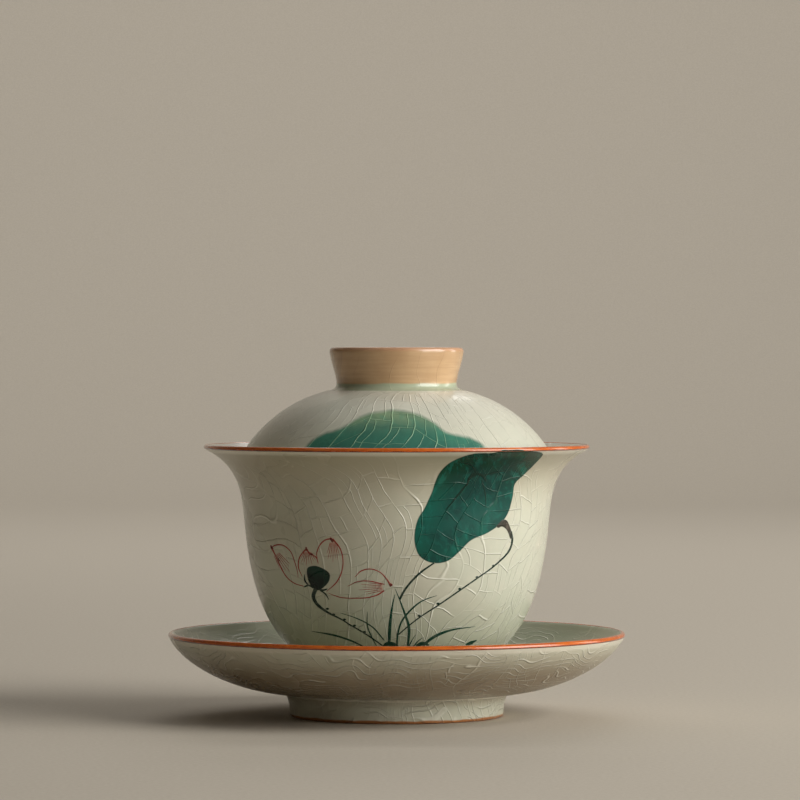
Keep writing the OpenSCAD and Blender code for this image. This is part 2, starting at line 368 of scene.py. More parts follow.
def add(kind, sockets, tree=None, **settings):
    """A shader node with its settings, and its sockets linked or set. It goes into the tree
    that its linked values belong to."""
    if not tree:
        tree = next(v for v in sockets.values() if isinstance(v, Value)).socket.id_data
    node = tree.nodes.new("ShaderNode" + kind)
    for key, value in settings.items():
        setattr(node, key, value)
    for key, value in sockets.items():
        if isinstance(value, Value):
            tree.links.new(value.socket, node.inputs[key])
        else:
            node.inputs[key].default_value = value
    return node


def output(key, kind, sockets, **settings):
    """One output of a new node."""
    return Value(add(kind, sockets, **settings).outputs[key])


def maths(operation, *values):
    return output(0, "Math", dict(enumerate(values)), operation=operation)


def ramp(value, start, end, low=0.0, high=1.0):
    """Eases from low to high while the value goes from start to end."""
    sockets = {"Value": value, "From Min": start, "From Max": end, "To Min": low, "To Max": high}
    return output(0, "MapRange", sockets, interpolation_type="SMOOTHSTEP")


def blend(share, a, b, how="MIX"):
    """Mixes a share of colour b into colour a, or of their product."""
    a, b = ((*c, 1) if isinstance(c, tuple) else c for c in (a, b))
    return output(2, "Mix", {0: share, 6: a, 7: b}, data_type="RGBA", blend_type=how)


def toward(colour, other, value, *easing):
    """Eases a colour toward another. The easing is the value's start and end, and the other
    colour's share before and after."""
    return blend(ramp(value, *easing), colour, other)


def scaled(vector, factors):
    return output(0, "VectorMath", {0: vector, 1: factors}, operation="MULTIPLY")


def moved(vector, offset):
    return output(0, "VectorMath", {0: vector, 1: offset}, operation="ADD")


def noise(vector, size, detail=2.0, roughness=0.5, key="Fac"):
    """Noise whose features are about the size in millimetres."""
    sockets = {"Vector": vector, "Scale": 1 / size, "Detail": detail, "Roughness": roughness}
    return output(key, "TexNoise", sockets)


def millimetres(tree):
    """Where a surface point is, in the piece's own frame, in millimetres."""
    return scaled(output("Object", "TexCoord", {}, tree=tree), (1 / MM, 1 / MM, 1 / MM))


def height_of(place):
    return output(2, "SeparateXYZ", {0: place})


def radius_of(place):
    return output("Value", "VectorMath", {0: scaled(place, (1, 1, 0))}, operation="LENGTH")


def warped(place, size, amount):
    """The place pushed about by noise, so that straight cracks bend."""
    centred = moved(noise(place, size, 1.0, key="Color"), (-0.5, -0.5, -0.5))
    return moved(place, scaled(centred, (amount, amount, amount)))


def random_of(key, dimensions="1D"):
    """Three random numbers that belong to a cell."""
    socket = "W" if dimensions == "1D" else "Vector"
    return output("Color", "TexWhiteNoise", {socket: key}, noise_dimensions=dimensions)


def parts(vector):
    return [Value(socket) for socket in add("SeparateXYZ", {0: vector}).outputs]


def facing_up(tree):
    """How far the surface faces up: 1 is level, 0 upright, -1 an underside."""
    return output(2, "SeparateXYZ", {0: output("Normal", "NewGeometry", {}, tree=tree)})


def kept_value(tree, name):
    """A value that a painted piece keeps for each of its points."""
    return output("Fac", "Attribute", {}, tree=tree, attribute_name=name)


# ---- Crackle ----

# Each glazed body's crackle. Lengths are millimetres.
#   columns, row     cracks up the wall, all the way round, and how far apart cross cracks are
#   rise             how fast the rows follow the radius and the height
#   drift, spiral    how far noise and the radius shift the columns
#   hub              inside this radius an even net takes over
#   bend_size, bend  size and reach of the noise that bends the cracks
#   line, cross      width of a crack, and strength of the cross cracks
#   tilt, relief     how far the plates tilt, and how high the cracks stand
#   fade             heights between which the crackle fades, and what is left of it
#   drawn            how much of a crack's light is drawn in the colour
#   swirl            how far apart the fine curling cracks are
CRACKS = {
    "bowl": dict(columns=46, row=5.2, rise=(0.0, 0.192), drift=2.0, spiral=0.0, hub=10.0,
                 bend_size=26.0, bend=8.0, line=0.24, cross=1.0, tilt=0.5, relief=1.1,
                 fade=(61.0, 66.0, 0.12), drawn=0.7),
    "lid": dict(columns=45, row=5.5, rise=(-0.115, 0.105), drift=0.9, spiral=0.05, hub=16.0,
                bend_size=20.0, bend=4.5, line=0.18, cross=0.65, tilt=0.3, relief=0.8,
                fade=(78.0, 82.0, 0.7), drawn=0.65),
    "saucer": dict(columns=44, row=4.4, rise=(0.2, 0.16), drift=2.6, spiral=0.0, hub=16.0,
                   bend_size=15.0, bend=7.0, line=0.25, cross=0.55, tilt=0.12, relief=1.7,
                   fade=(18.6, 20.2, 0.12), drawn=0.45, swirl=1.8),
    "knob": dict(columns=7, row=12.0, rise=(0.0, 0.083), drift=0.4, spiral=0.0, hub=6.0,
                 bend_size=9.0, bend=4.0, line=0.2, cross=0.3, tilt=0.2, relief=0.3,
                 fade=(95.0, 96.0, 1.0), drawn=0.2),
}


def past_border(value, width):
    """Millimetres past the nearest border between cells of this width; before it is negative."""
    return (maths("FRACT", value + 0.5) - 0.5) * width


def crack_marks(past, width, strength):
    """A crack's ridge, its lit flank past the crack and its shaded flank before it."""
    marks = []
    for offset, reach in ((0.0, 1.0), (-0.35, 0.9), (0.75, 0.9)):
        away = maths("ABSOLUTE", past + offset * width)
        marks.append(ramp(away, reach * width, 0.0) * strength)
    return marks


def column_of(place, bent, radius, style):
    """Which column a place is in, counted with fractions round the axis."""
    x, y, _ = parts(bent)
    angle = maths("ARCTAN2", x, y * -1.0)
    drift = ramp(noise(place, 38.0, 1.0), 0.25, 0.75, -style["drift"], style["drift"])
    return angle * (style["columns"] / (2 * math.pi)) + drift + radius * style["spiral"]


def row_of(bent, radius, column_no, across, style):
    """Which row a place is in. Each column has a row height, a shift and a slant of its own."""
    shift, stretch, slant = parts(random_of(column_no))
    out_rise, up_rise = style["rise"]
    row = height_of(bent) * up_rise + radius * out_rise
    row = row * ramp(stretch, 0.0, 1.0, 0.75, 1.35) + shift * 37.0
    return row + (slant - 0.5) * 1.5 * across


def crack_sets(place, style, column, row, width, split, split_at):
    """Marks of the cracks up the wall, across it and through plates, and the curling ones."""
    past_split = (maths("FRACT", column) - split_at) * width
    some = ramp(split, 0.38, 0.42) * 0.7
    patchy = ramp(noise(place, 9.0), 0.36, 0.53, 0.25, 1.0)
    line, cross = style["line"], style["cross"]
    if "swirl" in style:  # the curling cracks lead, so all the others are weaker
        patchy = patchy * cross
    crossing = patchy * cross
    sets = [crack_marks(past_border(column, width), line, patchy),
            crack_marks(past_border(row, style["row"]), line * 0.9, crossing),
            crack_marks(past_split, line * 0.75, some)]
    return sets + ([swirl_marks(place, style)] if "swirl" in style else [])


def crackle(place, style):
    """Glaze crackle. Cracks run up the wall first, cross cracks then stop at them, and some
    plates split once more. Every plate tilts a little of its own. Near the axis an even net
    takes over. Returns the ridges, the lit and the shaded flanks, and the plates' height."""
    bent = warped(place, style["bend_size"], style["bend"])
    bent = warped(bent, 4.0, 0.8)
    radius = radius_of(bent)
    column = column_of(place, bent, radius, style)
    column_no = maths("FLOORED_MODULO", maths("FLOOR", column), style["columns"])
    across = maths("FRACT", column)
    width = radius * (2 * math.pi / style["columns"])
    row = row_of(bent, radius, column_no, across, style)
    plate = output(0, "CombineXYZ", {0: column_no, 1: maths("FLOOR", row), 2: 0.0})
    split, tilt_across, tilt_up = parts(random_of(plate, "3D"))
    split_at = ramp(tilt_up, 0.0, 1.0, 0.3, 0.7)
    start, end, faded = style["fade"]
    fade = ramp(height_of(bent), start, end, 1.0, faded)
    away = ramp(radius, style["hub"], 1.4 * style["hub"])
    net = net_mark(bent, style) * (1.0 - away)
    sets = crack_sets(place, style, column, row, width, split, split_at)
    marks = []
    for strongest, *others in zip(*sets):
        for other in others:
            strongest = maths("MAXIMUM", strongest, other)
        marks.append(maths("MAXIMUM", strongest * away, net) * fade)
    tilted = (tilt_across - 0.5) * across + (tilt_up - 0.5) * maths("FRACT", row)
    plates = tilted * (fade * away * style["tilt"])
    return {"ridge": marks[0], "lit": marks[1], "shaded": marks[2], "plates": plates}


def net_mark(bent, style):
    """Crack lines between plates that are about as wide as they are long."""
    sockets = {"Vector": bent, "Scale": 1 / style["row"], "Randomness": 0.9}
    edge = output("Distance", "TexVoronoi", sockets, feature="DISTANCE_TO_EDGE")
    return ramp(edge * style["row"], style["line"], 0.0, 0.0, 0.8)


def swirl_marks(place, style):
    """Fine cracks that stream along the wall and curl, as on a fast-cooled rim."""
    flow = warped(place, 13.0, 15.0)
    stream = (radius_of(flow) * 0.9 + height_of(flow) * 0.45) * (1 / style["swirl"])
    broken = ramp(noise(place, 5.0), 0.4, 0.52)
    return crack_marks(past_border(stream, style["swirl"]), style["line"], broken)


# ---- Glazes ----

CELADON = (0.6, 0.61, 0.49)
WARMER = (0.57, 0.545, 0.43)  # clouds in the celadon
CREAM = (0.7, 0.66, 0.54)  # fine pale specks
GREENER = (0.5, 0.55, 0.39)  # where the glaze pooled
THIN_GLAZE_AND_SHADE = (0.42, 0.36, 0.25)  # where the glaze is thin and the clay shows through; also painted shade, under the bowl's flare and up the saucer's foot under the dish
PALE_RIM = (0.8, 0.76, 0.64)  # just under a rim; also the painted highlight where the saucer's foot meets the dish
PALE_LID_AND_TOP_LIGHT = (0.84, 0.83, 0.71)  # a paler lid, with painted light growing up the dome toward the knob
# PALE_FOOT: a paler, creamier foot, partly its own colour and partly painted light against the
# dish's shadow
PALE_FOOT = (0.66, 0.64, 0.53)
SAUCER_UNDERSIDE_SHADE = (0.25, 0.185, 0.11)  # painted shade under the saucer, darker low down
TEAL = (0.4, 0.46, 0.35)  # inside the saucer, toward its rim
CRACK_LIGHT = (0.8, 0.79, 0.68)
CRACK_SHADE = (0.42, 0.4, 0.34)
FOOT_LINE = (0.42, 0.17, 0.055)
BARE_CLAY = (0.3, 0.13, 0.06)
ORANGE_IRON = (0.72, 0.16, 0.02)
RED_IRON = (0.5, 0.08, 0.01)
IRON_SPECK = (0.8, 0.3, 0.08)
# Painted shade along the underside of a round iron lip
IRON_LIP_SHADE = (0.13, 0.022, 0.008)
TAN_DARK = (0.56, 0.355, 0.185)
TAN_LIGHT = (0.64, 0.425, 0.235)
TAN_RING = (0.46, 0.27, 0.13)
TAN_CRACK = (0.36, 0.2, 0.1)
PINK_LIP = (0.66, 0.36, 0.22)

# Where each celadon changes with the height: the other colour, the heights between which it
# comes in, and its share before and after.
ZONES = {
    # The bowl's brown zone under its flare is partly thin glaze and partly painted shade from the
    # flare.
    "bowl": [(THIN_GLAZE_AND_SHADE, 52.0, 65.0, 0.0, 0.62), (GREENER, 34.0, 15.0, 0.0, 0.6),
             (PALE_RIM, 66.6, 67.4, 0.0, 0.9)],
    # The lid's pale zone is paler glaze with painted light growing toward its top.
    "lid": [(PALE_LID_AND_TOP_LIGHT, 72.0, 82.0, 0.4, 0.75), (GREENER, 72.0, 64.0, 0.0, 0.25),
            (PALE_RIM, 81.2, 82.6, 0.0, 0.5)],
    "saucer": [(GREENER, 11.5, 8.0, 0.0, 0.4), (PALE_RIM, 18.7, 19.5, 0.0, 0.8)],
}


def celadon_layers(tree, kind):
    """Colour, bump height and roughness of the crackled celadon, before any painting."""
    place = millimetres(tree)
    cracks = crackle(place, CRACKS[kind])
    height = height_of(place)
    cloud = noise(place, 26.0, 3.0)
    colour = toward(CELADON, WARMER, cloud, 0.35, 0.65, 0.0, 0.8)
    fine = noise(place, 5.0, 4.0, 0.6)
    colour = toward(colour, CREAM, fine, 0.45, 0.75, 0.0, 0.35)
    for zone_colour, *easing in ZONES[kind]:
        colour = toward(colour, zone_colour, height, *easing)
    throwing = noise(scaled(place, (0.05, 0.05, 1.0)), 1.6, 2.0)
    bumps = cracks["plates"] + throwing * 0.1 + fine * 0.2
    relief = CRACKS[kind]["relief"]
    if kind == "saucer":  # its inside is smoother than its underside
        relief = ramp(facing_up(tree), -0.1, 0.3, relief, 0.4 * relief)
    bumps = bumps + cracks["ridge"] * relief
    gloss = ramp(cloud, 0.3, 0.7, 0.22, 0.34)
    return {"place": place, "height": height, "colour": colour, "bumps": bumps, "gloss": gloss,
            "fine": fine, "drawn": CRACKS[kind]["drawn"], **cracks}


def new_material(name):
    material = bpy.data.materials.new(name)
    material.use_nodes = True
    material.node_tree.nodes.clear()
    return material, material.node_tree


def finished(material, sockets):
    """Closes a material with a principled shader that has these sockets set."""
    add("OutputMaterial", {"Surface": output(0, "BsdfPrincipled", sockets)})
    return material


def glaze_shader(material, colour, bumps, gloss, depth=0.12, coat=0.25, specular=0.4):
    """Closes a glaze: bump, gloss and a clear coat, smoother than the bump, over the colour."""
    bump = output(0, "Bump", {"Height": bumps, "Strength": 1.0, "Distance": depth * MM})
    skin = output(0, "Bump", {"Height": bumps, "Strength": 0.45, "Distance": depth * MM})
    sockets = {"Base Color": colour, "Roughness": gloss, "Normal": bump,
               "Coat Weight": coat, "Coat Roughness": 0.1, "Coat Normal": skin,
               "IOR": 1.5, "Specular IOR Level": specular}
    return finished(material, sockets)


def cracked(layers, colour=None, light=CRACK_LIGHT, share=None):
    """A colour with the cracks drawn in it: pale on the lit flank, darker on the other."""
    dark = blend(layers["shaded"] * 0.12, colour or layers["colour"], CRACK_SHADE, "MULTIPLY")
    return blend(layers["lit"] * (share or layers["drawn"]), dark, light)


def celadon(name, kind):
    """The glaze of a wall. The saucer's gets painted shade underneath and is bluer inside its rim.
    """
    material, tree = new_material(name)
    layers = celadon_layers(tree, kind)
    colour = layers["colour"]
    if kind == "saucer":
        # Painted shade, darker down the saucer's underside.
        colour = toward(colour, SAUCER_UNDERSIDE_SHADE, layers["height"], 19.6, 11.0, 0.2, 0.95)
        inside = ramp(facing_up(tree), 0.1, 0.5)
        far_out = ramp(radius_of(layers["place"]), 30.0, 54.0, 0.2, 0.6)
        colour = blend(inside * far_out, colour, TEAL)
    colour = cracked(layers, colour)
    return glaze_shader(material, colour, layers["bumps"], layers["gloss"])


def foot_glaze(name, kind, foot_height):
    """Celadon that stops just above an iron-brown line, with bare clay under the foot.
    Heights in here are above the foot's lowest point."""
    material, tree = new_material(name)
    layers = celadon_layers(tree, kind)
    wobble = ramp(noise(layers["place"], 6.0), 0.3, 0.7, -0.12, 0.12)
    edge = layers["height"] - foot_height + wobble
    # A paler foot: partly painted light against the shadow of the dish.
    pale = blend(0.45, layers["colour"], PALE_FOOT)
    if kind == "saucer":  # painted shade up the foot under the dish, and a painted highlight line where it meets the dish
        pale = toward(pale, THIN_GLAZE_AND_SHADE, edge, 3.4, 5.2, 0.0, 0.45)
        pale = toward(pale, PALE_RIM, edge, 5.45, 5.65, 0.0, 0.9)
    colour = cracked(layers, pale)
    colour = toward(colour, FOOT_LINE, edge, 0.95, 0.6)
    colour = toward(colour, BARE_CLAY, edge, 0.16, 0.02)
    sockets = {0: ramp(edge, 0.2, 0.04), 2: layers["gloss"], 3: 0.8}
    gloss = output(0, "Mix", sockets, data_type="FLOAT")
    return glaze_shader(material, colour, layers["bumps"], gloss)


def iron_glaze(name, low):
    """Iron-oxide glaze painted on a rim: bright orange over the lip, with painted shade along its
    lower edge, where the round lip turns under."""
    material, tree = new_material(name)
    place = millimetres(tree)
    streak = noise(scaled(place, (1, 1, 2.5)), 3.0, 4.0, 0.65)
    speck = noise(place, 0.7, 2.0)
    above = height_of(place) - low
    ragged = above + ramp(streak, 0.3, 0.7, -0.12, 0.12)
    colour = toward(ORANGE_IRON, RED_IRON, streak, 0.35, 0.65, 0.0, 0.7)
    colour = toward(colour, IRON_SPECK, speck, 0.6, 0.78, 0.0, 0.4)
    # Painted shade along the band's lower edge.
    colour = toward(colour, IRON_LIP_SHADE, ragged, 0.42, 0.16, 0.0, 0.9)
    bumps = streak * 0.4 + speck * 0.12
    gloss = ramp(streak, 0.3, 0.7, 0.16, 0.28)
    return glaze_shader(material, colour, bumps, gloss, depth=0.08, coat=0.7, specular=0.5)


def tan_glaze(name, base_height):
    """Tan glaze on the knob, thin and pinkish at the lip, celadon down in the fillet.
    Heights in here are above the knob's lowest point."""
    material, tree = new_material(name)
    place = millimetres(tree)
    ridge = crackle(place, CRACKS["knob"])["ridge"]
    rings = noise(scaled(place, (0.06, 0.06, 1.0)), 0.9, 3.0, 0.6)
    cloud = noise(place, 9.0, 3.0)
    above = height_of(place) - base_height
    ragged = above + ramp(cloud, 0.3, 0.7, -0.15, 0.15)
    colour = toward(TAN_DARK, TAN_LIGHT, cloud, 0.35, 0.65)
    colour = toward(colour, TAN_RING, rings, 0.35, 0.65, 0.0, 0.32)
    colour = blend(ridge * 0.22, colour, TAN_CRACK)
    colour = toward(colour, PINK_LIP, above, 9.6, 10.5, 0.0, 0.75)
    colour = toward(colour, GREENER, ragged, 2.1, 1.5)
    bumps = rings * 0.22 + cloud * 0.3 + ridge * CRACKS["knob"]["relief"]
    gloss = ramp(cloud, 0.3, 0.7, 0.16, 0.26)
    return glaze_shader(material, colour, bumps, gloss, coat=0.5, specular=0.5)


# ---- Paints ----

# A wash's colours low, in the middle and high up, its dark, and the three heights.
LEAF_WASH = dict(low=(0.003, 0.085, 0.06), middle=(0.004, 0.118, 0.086),
                 high=(0.006, 0.048, 0.024), dark=(0.003, 0.031, 0.029),
                 heights=(41.0, 52.0, 66.0))
POD_WASH = dict(low=(0.001, 0.022, 0.012), middle=(0.002, 0.028, 0.016),
                high=(0.005, 0.05, 0.03), dark=(0.001, 0.008, 0.006),
                heights=(33.0, 36.0, 40.0))
CALYX_WASH = dict(low=(0.045, 0.05, 0.036), middle=(0.075, 0.06, 0.046),
                  high=(0.09, 0.062, 0.048), dark=(0.03, 0.034, 0.026),
                  heights=(46.4, 48.5, 50.8))
LID_LEAF_WASH = dict(low=(0.007, 0.14, 0.145), middle=(0.036, 0.22, 0.145),
                     high=(0.24, 0.37, 0.215), dark=(0.01, 0.115, 0.09),
                     heights=(65.5, 71.0, 77.5))
# Inks: the colour of a thick stroke and of a thin one.
STEM_INK = ((0.002, 0.02, 0.012), (0.008, 0.055, 0.033))
GRASS_INK = ((0.001, 0.046, 0.026), (0.004, 0.09, 0.05))
HEART_INK = ((0.002, 0.022, 0.014), (0.003, 0.034, 0.022))
PETAL_INK = ((0.32, 0.028, 0.02), (0.52, 0.12, 0.085))
PETAL_TIP_INK = ((0.11, 0.006, 0.005), (0.42, 0.03, 0.02))
LEAF_UNDER_HEART = (0.004, 0.062, 0.042)


def leaf_paint(name, kind, wash, soft, cracks, mottle=0.8, strength=1.0):
    """A wash over the glaze. It is mottled by the brush, darker in the middle and along its
    very edge, and it thins out over the soft width at its outline. The cracks show in it."""
    material, tree = new_material(name)
    layers = celadon_layers(tree, kind)
    place = layers["place"]
    depth = kept_value(tree, "depth")
    ragged = (layers["fine"] - 0.5) * (soft * 1.2)
    cover = ramp(depth + ragged, -soft * 0.5, soft)
    swept = scaled(warped(place, 14.0, 8.0), (1.0, 0.4, 0.45))
    brushed = noise(swept, 1.8, 6.0, 0.7)
    pooled = noise(place, 6.0, 5.0, 0.6)
    low, middle, high = wash["heights"]
    dark = wash["dark"]
    washed_out = tuple(1.5 * c + 0.004 for c in wash["middle"])
    colour = toward(wash["low"], wash["middle"], layers["height"], low, middle)
    colour = toward(colour, wash["high"], layers["height"], middle, high)
    colour = toward(colour, dark, pooled, 0.43, 0.58, 0.0, mottle)
    colour = toward(colour, washed_out, brushed, 0.49, 0.62, 0.0, mottle)
    colour = toward(colour, dark, depth, 0.8, 5.0, 0.0, 0.45)
    colour = toward(colour, dark, depth, 0.45, 0.1, 0.0, 0.4)
    light = tuple(0.03 + 2.2 * c for c in wash["high"])
    colour = cracked(layers, colour, light, cracks)
    colour = blend(cover * strength, cracked(layers), colour)
    return glaze_shader(material, colour, layers["bumps"], layers["gloss"], coat=0.08,
                        specular=0.25)


def line_paint(name, kind, ink_colours, under=None):
    """Ink of a brush stroke: dense in the middle, and where it is thin, the glaze or the
    paint under it shows."""
    material, tree = new_material(name)
    layers = celadon_layers(tree, kind)
    thick, thin = ink_colours
    ink = kept_value(tree, "ink")
    patchy = ramp(noise(layers["place"], 1.1, 3.0), 0.25, 0.55, 0.88, 1.0)
    cover = ramp(ink, 0.1, 0.55) * patchy
    colour = toward(thin, thick, ink, 0.35, 0.9)
    colour = blend(cover, cracked(layers, under), colour)
    return glaze_shader(material, colour, layers["bumps"], layers["gloss"], coat=0.1,
                        specular=0.3)


# ---- Drawings: lotus leaf, flower and grass ----

BOWL_LEAF = [(19.3, 67.6), (16.4, 66.9), (12.8, 65.2), (10.4, 62.7), (9.3, 60.2), (8.7, 58.2),
             (7.9, 56.4), (6.7, 53.8), (5.3, 51.6), (4.5, 48.8), (4.4, 45.4), (5.6, 42.2),
             (8.6, 40.5), (12.4, 40.8), (15.4, 43.1), (18.4, 45.9), (22.4, 47.6), (25.7, 49.8),
             (27.6, 52.4), (28.8, 56.4), (29.3, 59.6), (31.6, 61.9), (34.3, 64.6), (36.2, 67.0),
             (35.9, 67.5), (32.8, 68.1), (29.0, 68.5), (25.8, 68.4), (24.2, 67.8)]
LID_LEAF = [(-24.5, 62.5), (-23.2, 68.0), (-19.5, 71.6), (-13.5, 73.9), (-9.0, 76.4), (-4.5, 77.7),
            (1.0, 78.0), (6.2, 76.8), (9.4, 75.0), (12.2, 72.7), (17.5, 71.5), (21.5, 69.3),
            (23.5, 65.5), (23.0, 62.5)]
LEAF_HEART = [
    ([(17.3, 59.4), (17.9, 61.4), (19.5, 62.4), (21.2, 61.8), (22.1, 60.4)],
     [0.4, 1.2, 1.5, 1.1, 0.4]),
    ([(17.9, 60.6), (15.6, 57.9), (13.6, 55.4), (12.0, 53.6)], [0.5, 0.75, 0.6, 0.2]),
    ([(19.6, 62.6), (18.2, 64.6), (15.4, 65.4)], [0.6, 0.6, 0.2]),
    ([(21.4, 62.0), (24.6, 62.8), (28.2, 63.2)], [0.5, 0.5, 0.2]),
    ([(20.8, 61.0), (21.8, 57.6), (22.0, 54.0)], [0.4, 0.45, 0.2]),
]
SEED_POD = [(-22.1, 38.9), (-20.4, 39.6), (-18.4, 39.1), (-16.5, 37.7), (-16.6, 35.9),
            (-18.0, 34.2), (-19.6, 33.4), (-21.0, 34.2), (-22.0, 36.2)]
STEMS = [
    ([(28.3, 48.0), (28.7, 45.6), (27.9, 43.0), (24.2, 39.4), (20.0, 36.5), (15.4, 33.4),
      (10.4, 30.0), (5.8, 27.0), (3.0, 24.8), (0.2, 22.3)],
     [0.7, 0.55, 0.42, 0.44, 0.42, 0.4, 0.35]),
    ([(9.4, 40.6), (6.2, 38.4), (3.7, 36.0), (1.8, 33.5), (0.7, 31.3)], [0.4, 0.6, 0.6, 0.65]),
]
CALYX = [(24.6, 49.1), (25.3, 50.2), (26.4, 50.9), (27.3, 50.6), (28.0, 49.3), (28.55, 47.5),
         (28.6, 45.6), (28.1, 46.2), (27.7, 47.3), (27.1, 48.4), (26.0, 49.1), (25.2, 48.8)]
GRASS = [
    ([(-0.4, 32.8), (-1.1, 29.5), (-1.6, 25.5), (-1.9, 19.5)], [0.14, 0.66, 0.96, 0.9]),
    ([(-0.4, 34.2), (0.7, 31.5), (2.1, 27.6), (3.0, 24.6), (2.8, 19.5)],
     [0.12, 0.42, 0.66, 0.9, 0.6]),
    ([(10.0, 32.4), (6.2, 31.0), (3.3, 28.6), (1.2, 25.8), (0.3, 22.7), (0.1, 19.5)],
     [0.12, 0.42, 0.54, 0.54, 0.48]),
    ([(19.6, 24.2), (13.5, 23.5), (9.5, 22.0), (6.4, 19.6)], [0.1, 0.48, 0.9, 0.84]),
    ([(-21.2, 22.9), (-15.5, 22.1), (-11.5, 20.9), (-7.5, 19.0)], [0.12, 0.6, 0.6, 0.36]),
    ([(-13.9, 27.9), (-9.6, 26.5), (-5.9, 24.4), (-3.0, 21.0)], [0.1, 0.34, 0.36, 0.3]),
    ([(-7.2, 28.4), (-7.2, 24.7), (-6.2, 22.0), (-5.0, 19.6)], [0.1, 0.36, 0.38, 0.24]),
]
TUFTS = [
    ([(-3.7, 19.1), (-2.1, 20.1), (-0.4, 19.8), (0.6, 19.0)], [0.5, 1.5, 1.4, 0.6]),
    ([(2.8, 19.0), (4.0, 21.4), (4.8, 22.6)], [0.35, 0.3, 0.1]),
    ([(3.8, 19.0), (5.4, 20.9), (6.6, 21.8)], [0.4, 0.35, 0.1]),
    ([(4.7, 19.5), (6.5, 20.2), (8.1, 19.7)], [0.7, 1.3, 0.5]),
    ([(11.4, 19.1), (12.9, 19.4)], [0.5, 0.3]),
    ([(17.2, 19.4), (18.6, 20.0), (20.0, 20.6)], [0.9, 1.1, 0.3]),
]
FLOWER_STEM = [
    ([(-19.9, 34.0), (-20.6, 31.9), (-19.9, 30.2), (-18.5, 28.9), (-16.4, 27.6), (-13.7, 26.3),
      (-11.3, 24.8), (-8.7, 23.3), (-5.8, 21.4), (-3.4, 19.6)],
     [1.25, 0.94, 0.62, 0.4, 0.43, 0.4, 0.38]),
    ([(-22.8, 37.4), (-22.7, 35.8), (-21.6, 34.4)], [0.19, 0.56, 0.38]),
    ([(-23.0, 34.1), (-21.8, 34.6), (-20.4, 33.9)], [0.38, 0.62, 0.38]),
    ([(-17.0, 33.9), (-18.2, 33.5), (-19.6, 33.8)], [0.38, 0.62, 0.38]),
    ([(-16.7, 31.1), (-17.6, 32.6), (-19.0, 33.5)], [0.15, 0.44, 0.38]),
]
THORNS = [(-17.1, 28.6), (-15.6, 27.2), (-12.9, 26.0), (-10.4, 24.5), (-8.0, 22.9),
          (24.0, 39.2), (19.9, 36.5), (15.6, 33.7), (10.2, 30.1), (5.6, 27.1)]
PETALS = [
    ([(-31.2, 43.7), (-30.1, 44.3), (-28.3, 44.4), (-26.3, 42.9), (-25.2, 40.2), (-24.5, 37.6),
      (-24.4, 36.4)], [0.28, 0.42, 0.34, 0.25, 0.28, 0.22, 0.11]),
    ([(-31.2, 43.7), (-30.1, 41.6), (-28.9, 38.9), (-27.0, 36.1), (-25.2, 34.9), (-22.9, 34.3)],
     [0.51, 0.34, 0.25, 0.34, 0.31, 0.22]),
    ([(-23.3, 36.6), (-24.3, 39.1), (-24.0, 41.5), (-22.3, 43.8)], [0.14, 0.34, 0.36, 0.45]),
    ([(-22.3, 43.8), (-21.5, 42.6), (-19.9, 41.7), (-19.3, 40.1)], [0.51, 0.39, 0.34, 0.17]),
    ([(-19.5, 40.9), (-19.7, 42.7), (-18.8, 44.9), (-17.4, 46.1), (-15.8, 46.4)],
     [0.14, 0.31, 0.34, 0.39, 0.51]),
    ([(-15.8, 46.4), (-13.9, 44.0), (-13.2, 41.2), (-13.5, 38.3), (-14.8, 35.6), (-17.3, 33.2)],
     [0.56, 0.36, 0.28, 0.34, 0.34, 0.14]),
    ([(-10.3, 36.9), (-8.7, 38.5), (-6.3, 39.0), (-3.9, 38.1), (-2.3, 36.3), (-1.5, 35.0)],
     [0.14, 0.34, 0.34, 0.29, 0.34, 0.56]),
    ([(-12.1, 34.6), (-9.7, 35.8), (-6.8, 36.0), (-2.9, 35.2)], [0.11, 0.28, 0.34, 0.25]),
    ([(-16.9, 32.8), (-13.7, 31.8), (-10.2, 31.7), (-7.0, 31.9), (-4.7, 32.6), (-3.0, 33.7)],
     [0.11, 0.31, 0.28, 0.31, 0.34, 0.47]),
]
PETAL_TIPS = [
    ([(-31.4, 44.2), (-30.9, 43.2)], [0.45, 0.78]), ([(-22.4, 44.2), (-22.2, 43.2)], [0.39, 0.72]),
    ([(-16.4, 46.6), (-15.5, 45.6)], [0.59, 1.04]), ([(-1.7, 35.4), (-1.2, 34.8)], [0.78, 0.91]),
    ([(-21.4, 42.5), (-20.6, 42.3)], [0.52, 0.52]), ([(-29.6, 41.3), (-29.1, 40.3)], [0.3, 0.5]),
]


def rays(start, toward, count, fan, length):
    """Fine lines that fan out inside a petal from near its tip."""
    marks = []
    base = math.atan2(toward[1] - start[1], toward[0] - start[0])
    for i in range(count):
        share = i / (count - 1) - 0.5
        angle = base + math.radians(fan) * share
        reach = length * (1 - 1.1 * share * share) * (0.85 + 0.15 * (i % 2))
        side = 1.5 * share
        foot = (start[0] - side * math.sin(base), start[1] + side * math.cos(base))
        end = (foot[0] + reach * math.cos(angle), foot[1] + reach * math.sin(angle))
        middle = ((foot[0] + end[0]) / 2 - 0.1 * share, (foot[1] + end[1]) / 2)
        marks.append(([foot, middle, end], [0.2, 0.18, 0.08]))
    return marks


def petal_rays():
    """The rays of the petals that have them."""
    return (rays((-29.9, 42.1), (-26.1, 36.6), 6, 22, 5.6)
            + rays((-22.0, 43.0), (-21.9, 38.0), 8, 62, 3.5)
            + rays((-15.6, 45.5), (-15.7, 39.0), 7, 30, 5.0)
            + rays((-3.4, 34.4), (-12.0, 34.0), 6, 20, 6.0))


def thorn_marks():
    """A short dab across the stem at each thorn."""
    return [([(x - 0.45, z + 0.15), (x, z + 0.24), (x + 0.45, z + 0.25)], [0.3, 0.75, 0.3])
            for x, z in THORNS]


# ---- Pieces ----


